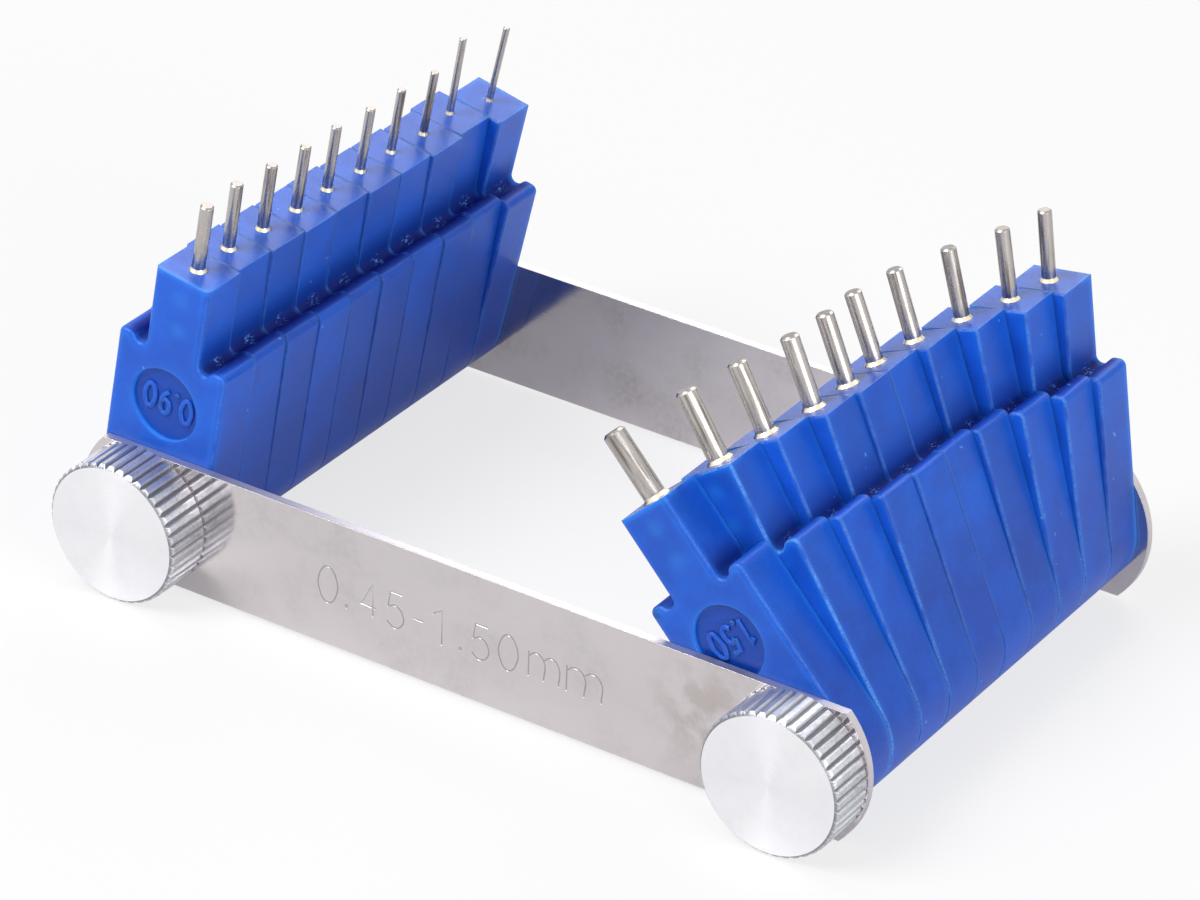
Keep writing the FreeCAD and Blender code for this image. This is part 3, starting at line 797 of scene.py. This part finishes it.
# %% Strokes of the characters
LINE, BEND, LOOP = "line", "bend", "loop"
STROKES = {
    "0": [(LOOP, (0.5, 1), (0.95, 0.75), (0.95, 0.25), (0.5, 0), (0.05, 0.25), (0.05, 0.75))],
    "1": [(LINE, (0, 0.82), (0.9, 1), (0.9, 0))],
    "2": [(BEND, (0.03, 0.74), (0.48, 1), (0.93, 0.74), (0.58, 0.36), (0, 0)),
          (LINE, (0, 0), (1, 0))],
    "3": [(BEND, (0.05, 0.86), (0.48, 1), (0.9, 0.77), (0.38, 0.54)),
          (BEND, (0.38, 0.54), (0.95, 0.3), (0.48, 0), (0.02, 0.14))],
    "4": [(LINE, (0.78, 0), (0.78, 1), (0, 0.28), (1, 0.28))],
    "5": [(LINE, (0.9, 1), (0.2, 1), (0.08, 0.55)),
          (BEND, (0.08, 0.55), (0.5, 0.64), (0.93, 0.42), (0.86, 0.12), (0.45, 0), (0, 0.14))],
    "6": [(LOOP, (0.5, 0.6), (0.95, 0.3), (0.5, 0), (0.05, 0.3)),
          (BEND, (0.05, 0.3), (0.25, 0.75), (0.8, 1))],
    "7": [(LINE, (0, 1), (1, 1), (0.35, 0))],
    "8": [(LOOP, (0.5, 1), (0.88, 0.78), (0.5, 0.56), (0.12, 0.78)),
          (LOOP, (0.5, 0.56), (0.97, 0.28), (0.5, 0), (0.03, 0.28))],
    "9": [(LOOP, (0.5, 0.4), (0.05, 0.7), (0.5, 1), (0.95, 0.7)),
          (BEND, (0.95, 0.7), (0.75, 0.25), (0.2, 0))],
    "m": [(LINE, (0.03, 0), (0.03, 1)),
          (BEND, (0.03, 0.8), (0.25, 1), (0.5, 0.82), (0.52, 0)),
          (BEND, (0.52, 0.82), (0.74, 1), (0.97, 0.82), (1, 0))],
    "-": [(LINE, (0, 0.5), (1, 0.5))],
    ".": [(LOOP, (0.5, 1), (1, 0.5), (0.5, 0), (0, 0.5))],
}


def stroke_mesh(name, letters, radius):
    """Round strokes in the XY plane, made a mesh before any place is applied.

    Each letter is a character with the left, right, low and high edge of its box in
    millimetres.
    """
    curve = bpy.data.curves.new(name, "CURVE")
    curve.dimensions = "3D"
    curve.bevel_depth = radius
    curve.bevel_resolution = 4
    curve.resolution_u = 5
    curve.use_fill_caps = True
    for letter, left, right, low, high in letters:
        for kind, *points in STROKES[letter]:
            spline = curve.splines.new("BEZIER")
            spline.bezier_points.add(len(points) - 1)
            for knot, (u, v) in zip(spline.bezier_points, points):
                knot.co = (left + u * (right - left), low + v * (high - low), 0)
                handle = "VECTOR" if kind == LINE else "AUTO"
                knot.handle_left_type = knot.handle_right_type = handle
            spline.use_cyclic_u = kind == LOOP
    holder = bpy.data.objects.new(name, curve)
    bpy.context.scene.collection.objects.link(holder)
    mesh = bpy.data.meshes.new_from_object(holder.evaluated_get(
        bpy.context.evaluated_depsgraph_get()))
    bpy.data.objects.remove(holder)
    return mesh


def smooth_by_angle(bm, degrees=30):
    for face in bm.faces:
        face.smooth = True
    for edge in bm.edges:
        edge.smooth = edge.is_manifold and edge.calc_face_angle() < math.radians(degrees)


print("characters:", "".join(STROKES))

# %% [markdown]
# ## Raised figures of the blades
#
# Each blade has its pin's size moulded in relief in a round field, upside down when the
# pin points up, because it is read with the pin held down. The strokes are laid on the
# floor of the field, so that half of their round profile stands out, and the blade's own
# frame puts them in place.

# %% Figures
DIGIT_WIDTH, DIGIT_HEIGHT, DIGIT_GAP = 0.76, 1.75, 0.46
NARROW = {"1": 0.35, ".": 0.02}
DOT_HEIGHT, STROKE_RADIUS = 0.02, 0.195
OFF_CENTRE_X, OFF_CENTRE_Z = 0.15, 0.1


def figure_letters(words):
    """The characters of a size with their boxes, side by side and centred."""
    widths = [NARROW.get(letter, DIGIT_WIDTH) for letter in words]
    left = -(sum(widths) + DIGIT_GAP * (len(words) - 1)) / 2
    low = -DIGIT_HEIGHT / 2
    letters = []
    for letter, width in zip(words, widths):
        high = low + (DOT_HEIGHT if letter == "." else DIGIT_HEIGHT)
        letters.append((letter, left, left + width, low, high))
        left += width + DIGIT_GAP
    return letters


def add_figures(blade):
    """The raised figures of one blade, riding on its body. Gives their number of faces."""
    bm = bmesh.new()
    bm.from_mesh(stroke_mesh("figures", figure_letters(blade.figures), STROKE_RADIUS))
    bmesh.ops.remove_doubles(bm, verts=bm.verts, dist=1e-5)
    upside_down = Matrix.Rotation(math.pi, 4, "Y") @ Matrix.Rotation(math.pi / 2, 4, "X")
    to_field = Matrix.Translation((OFF_CENTRE_X, FIELD_DEPTH, FIELD_HEIGHT + OFF_CENTRE_Z))
    bmesh.ops.transform(bm, matrix=blade.matrix @ to_field @ upside_down, verts=bm.verts)
    bmesh.ops.recalc_face_normals(bm, faces=bm.faces)
    smooth_by_angle(bm, 60)
    figures = bpy.data.objects.new("figures_" + blade.size, bpy.data.meshes.new("figures"))
    bm.to_mesh(figures.data)
    bm.free()
    figures.data.materials.append(blade.figure_plastic)
    bpy.context.scene.collection.objects.link(figures)
    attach(figures, blade.body)
    return len(figures.data.polygons)


print("faces of the figures:", sum(add_figures(blade) for blade in blades))

# %% [markdown]
# ## Engraved front bar
#
# The range is cut into the bar's front face by the same kind of strokes, much thinner and
# set wide apart as on the real bar. The CAD bar itself is never changed: a copy is merged,
# cut and shown in its place.

# %% Strokes of the engraved range
LETTERS = [("0", -10.95, -9.55, -1.5, 1.2), (".", -8.85, -8.7, -1.35, -1.15),
           ("4", -7.65, -6.45, -1.3, 1.15), ("5", -5.65, -4.3, -1.5, 1.1),
           ("-", -3.6, -2.8, -0.35, -0.15), ("1", -2.1, -1.3, -1.45, 1.1),
           (".", -0.05, 0.12, -1.3, -1.1), ("5", 0.9, 2.25, -1.45, 1.1),
           ("0", 3.0, 4.35, -1.45, 1.15), ("m", 5.15, 7.5, -1.25, 0.6),
           ("m", 8.0, 10.7, -1.3, 0.6)]
CUTTER_RADIUS = 0.09

cutter_mesh = stroke_mesh("range_strokes", LETTERS, CUTTER_RADIUS)
print("characters:", len(LETTERS), "faces of the cutter:", len(cutter_mesh.polygons))

# %% [markdown]
# The cutter is turned to stand in the bar's front face, its middle a little outside it, so
# that the groove is shallower than it is wide.

# %% Place the cutter
GROOVE_DEPTH = 0.035

low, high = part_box("front_bar")
outside = low.y - (CUTTER_RADIUS - GROOVE_DEPTH) * MM
cutter_mesh.transform(Matrix.Translation((0, outside, (low.z + high.z) / 2))
                      @ Matrix.Rotation(math.pi / 2, 4, "X") @ Matrix.Scale(MM, 4))
cutter = bpy.data.objects.new("cutter", cutter_mesh)
bpy.context.scene.collection.objects.link(cutter)
print("cutter", GROOVE_DEPTH, "mm deep in the bar")

# %% [markdown]
# The CAD bar's triangles are loose, so a copy has its doubles merged before it is cut.

# %% Cut a copy of the bar
bm = bmesh.new()
bm.from_mesh(nodes["front_bar"].data)
bmesh.ops.remove_doubles(bm, verts=bm.verts, dist=1e-7)
engraved = bpy.data.objects.new("engraved_front_bar", bpy.data.meshes.new("engraved_front_bar"))
bm.to_mesh(engraved.data)
bm.free()
bpy.context.scene.collection.objects.link(engraved)
cut = engraved.modifiers.new("cut", "BOOLEAN")
cut.object = cutter
cut.operation = "DIFFERENCE"
cut.solver = "EXACT"
cut.use_self = True
result = bpy.data.meshes.new_from_object(engraved.evaluated_get(
    bpy.context.evaluated_depsgraph_get()))
engraved.modifiers.clear()
bpy.data.objects.remove(cutter)
print("faces after the cut:", len(result.polygons))

# %% [markdown]
# The cut leaves flat faces with many corners round the strokes. They are divided into
# triangles, so that they shade evenly, and only edges flatter than 30 degrees are smooth.
# The plain bar is hidden in favour of this one.

# %% Finish the engraved bar
bm = bmesh.new()
bm.from_mesh(result)
bmesh.ops.triangulate(bm, faces=[face for face in bm.faces if len(face.verts) > 4])
smooth_by_angle(bm)
bm.to_mesh(result)
loose = sum(not edge.is_manifold for edge in bm.edges)
bm.free()
engraved.data = result
engraved.data.materials.clear()
engraved.data.materials.append(front_steel)
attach(engraved, "frame")
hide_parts("front_bar")
print("engraved bar: faces", len(result.polygons), "open edges", loose)

# %% [markdown]
# ## Finish
#
# The finished model has to stay inside the CAD model's box.

# %% Finish
scene = bpy.context.scene
scene.view_settings.view_transform = "Standard"
